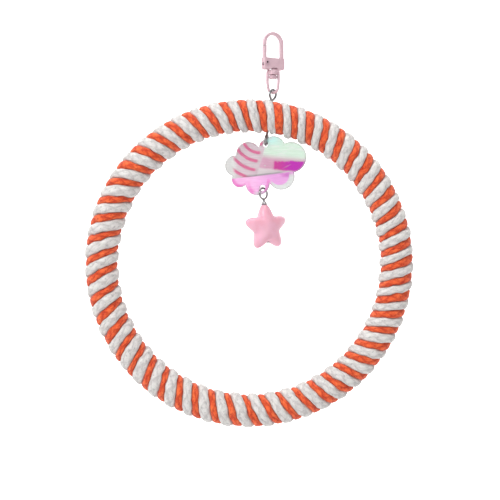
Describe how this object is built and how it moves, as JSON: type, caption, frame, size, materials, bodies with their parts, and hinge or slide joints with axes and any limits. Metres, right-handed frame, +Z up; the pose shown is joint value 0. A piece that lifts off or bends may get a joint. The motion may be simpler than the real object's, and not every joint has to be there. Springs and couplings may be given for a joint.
{
  "type": "bird swing",
  "caption": "Ring perch wound with white and orange cotton rope for a small cage bird, hung from a swivel spring clasp, with a clear cloud charm and a star bead inside the ring.",
  "frame": {"origin": "centre of the hook's arch, on the axis of a close fitting cage bar", "axes": "+Z up as it hangs; the ring lies in the XZ plane; the front that the picture shows faces -Y; +X to the right in that view"},
  "size_m": [0.1875, 0.0196, 0.2255],
  "materials": {
    "clasp_paint": "dusty pink paint on a zinc casting, satin",
    "rivet_paint": "dusty pink paint, a little darker",
    "spring_steel": "bright spring wire",
    "hanger_steel": "dull steel wire",
    "tube_plastic": "plain tube, hidden by the ropes",
    "plug_plastic": "plain plug inside the tube",
    "white_cotton": "twisted white cotton with grey flecks",
    "orange_cotton": "twisted orange cotton",
    "cloud_acrylic": "clear iridescent acrylic, green to pink",
    "star_plastic": "pink pearl bead, glossy",
    "charm_metal": "plated finding, bright"
  },
  "bodies": {
    "clasp": {"clasp_body": "clasp_paint", "gate_spring": "spring_steel", "gate_rivet": "rivet_paint", "swivel_rivet": "rivet_paint"},
    "gate": {"clasp_gate": "clasp_paint"},
    "swivel": {"swivel_loop": "clasp_paint"},
    "hoop": {"hanger_wire": "hanger_steel", "hoop_tube": "tube_plastic", "hoop_plug": "plug_plastic", "rope_white": "white_cotton", "rope_orange": "orange_cotton"},
    "cloud": {"cloud_charm": "cloud_acrylic"},
    "star": {"star_bead": "star_plastic", "star_cap": "charm_metal", "star_pin": "charm_metal"}
  },
  "joints": [
    {"name": "gate_turn", "type": "hinge", "parent": "clasp", "child": "gate", "pos_m": [-0.00424, -0.00245, -0.0112], "axis": [-0.5, 0.866, 0], "range_deg": [0, 22], "stiffness_Nm_per_rad": 0.03, "springref_deg": -8.59, "deforming": ["gate_spring"]},
    {"name": "swivel_turn", "type": "hinge", "parent": "clasp", "child": "swivel", "pos_m": [0, 0, -0.0165], "axis": [0, 0, 1], "continuous": true},
    {"name": "hoop_swing", "type": "hinge", "parent": "swivel", "child": "hoop", "pos_m": [0, 0, -0.02798], "axis": [1, 0, 0], "range_deg": [-40, 40]},
    {"name": "cloud_swing", "type": "hinge", "parent": "hoop", "child": "cloud", "pos_m": [-0.00385, 0, -0.05536], "axis": [1, 0, 0], "range_deg": [-25, 40]},
    {"name": "star_swing", "type": "hinge", "parent": "cloud", "child": "star", "pos_m": [-0.00582, 0.00036, -0.08238], "axis": [0.2079, 0.9781, 0], "range_deg": [-30, 30]}
  ]
}
